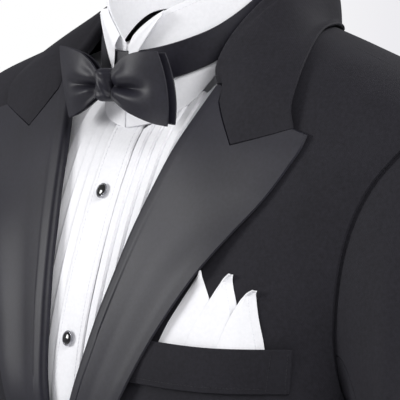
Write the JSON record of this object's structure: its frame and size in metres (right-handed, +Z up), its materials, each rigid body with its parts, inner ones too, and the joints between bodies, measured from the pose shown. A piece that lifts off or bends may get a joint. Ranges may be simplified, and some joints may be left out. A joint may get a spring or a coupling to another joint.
{
  "type": "tuxedo",
  "caption": "Dinner suit as worn: jacket with peaked satin lapels, wing-collar shirt with pleated bib, bow tie, folded pocket square and trousers with side braids.",
  "frame": {"origin": "middle of the base of the neck, level with the inner ends of the jacket's shoulder seams", "axes": "+Z up along the wearer's spine, front faces -Y, the wearer's left is +X"},
  "size_m": [0.6412, 0.2576, 1.529],
  "materials": {
    "black_wool": "matte fine worsted wool, near black with a faint violet cast",
    "black_satin": "soft-sheened satin, charcoal black",
    "white_cotton": "matte white cotton",
    "black_stud": "polished black stud"
  },
  "bodies": {
    "root": {"jacket_collar": "black_wool", "collar_stand": "black_wool", "chest_welt": "black_wool", "pocket_square": "white_cotton", "front_button": "black_satin", "shirt_placket": "white_cotton", "shirt_back": "white_cotton", "shirt_yoke": "white_cotton", "shirt_stand": "white_cotton", "stud_1": "black_stud", "stud_2": "black_stud", "stud_3": "black_stud", "stud_4": "black_stud", "tie_band": "black_satin", "tie_knot": "black_satin", "trouser_waistband": "black_wool", "jacket_front_left": "black_wool", "jacket_side_left": "black_wool", "jacket_back_left": "black_wool", "sleeve_upper_left": "black_wool", "sleeve_under_left": "black_wool", "lapel_left": "black_satin", "hip_jet_left": "black_satin", "cuff_button_left_1": "black_satin", "cuff_button_left_2": "black_satin", "cuff_button_left_3": "black_satin", "shirt_front_left": "white_cotton", "shirt_bib_left": "white_cotton", "shirt_sleeve_left": "white_cotton", "shirt_cuff_left": "white_cotton", "shirt_wing_left": "white_cotton", "bow_front_left": "black_satin", "bow_back_left": "black_satin", "trouser_front_left": "black_wool", "trouser_back_left": "black_wool", "side_braid_left": "black_satin", "jacket_front_right": "black_wool", "jacket_side_right": "black_wool", "jacket_back_right": "black_wool", "sleeve_upper_right": "black_wool", "sleeve_under_right": "black_wool", "lapel_right": "black_satin", "hip_jet_right": "black_satin", "cuff_button_right_1": "black_satin", "cuff_button_right_2": "black_satin", "cuff_button_right_3": "black_satin", "shirt_front_right": "white_cotton", "shirt_bib_right": "white_cotton", "shirt_sleeve_right": "white_cotton", "shirt_cuff_right": "white_cotton", "shirt_wing_right": "white_cotton", "bow_front_right": "black_satin", "bow_back_right": "black_satin", "trouser_front_right": "black_wool", "trouser_back_right": "black_wool", "side_braid_right": "black_satin"}
  },
  "joints": []
}
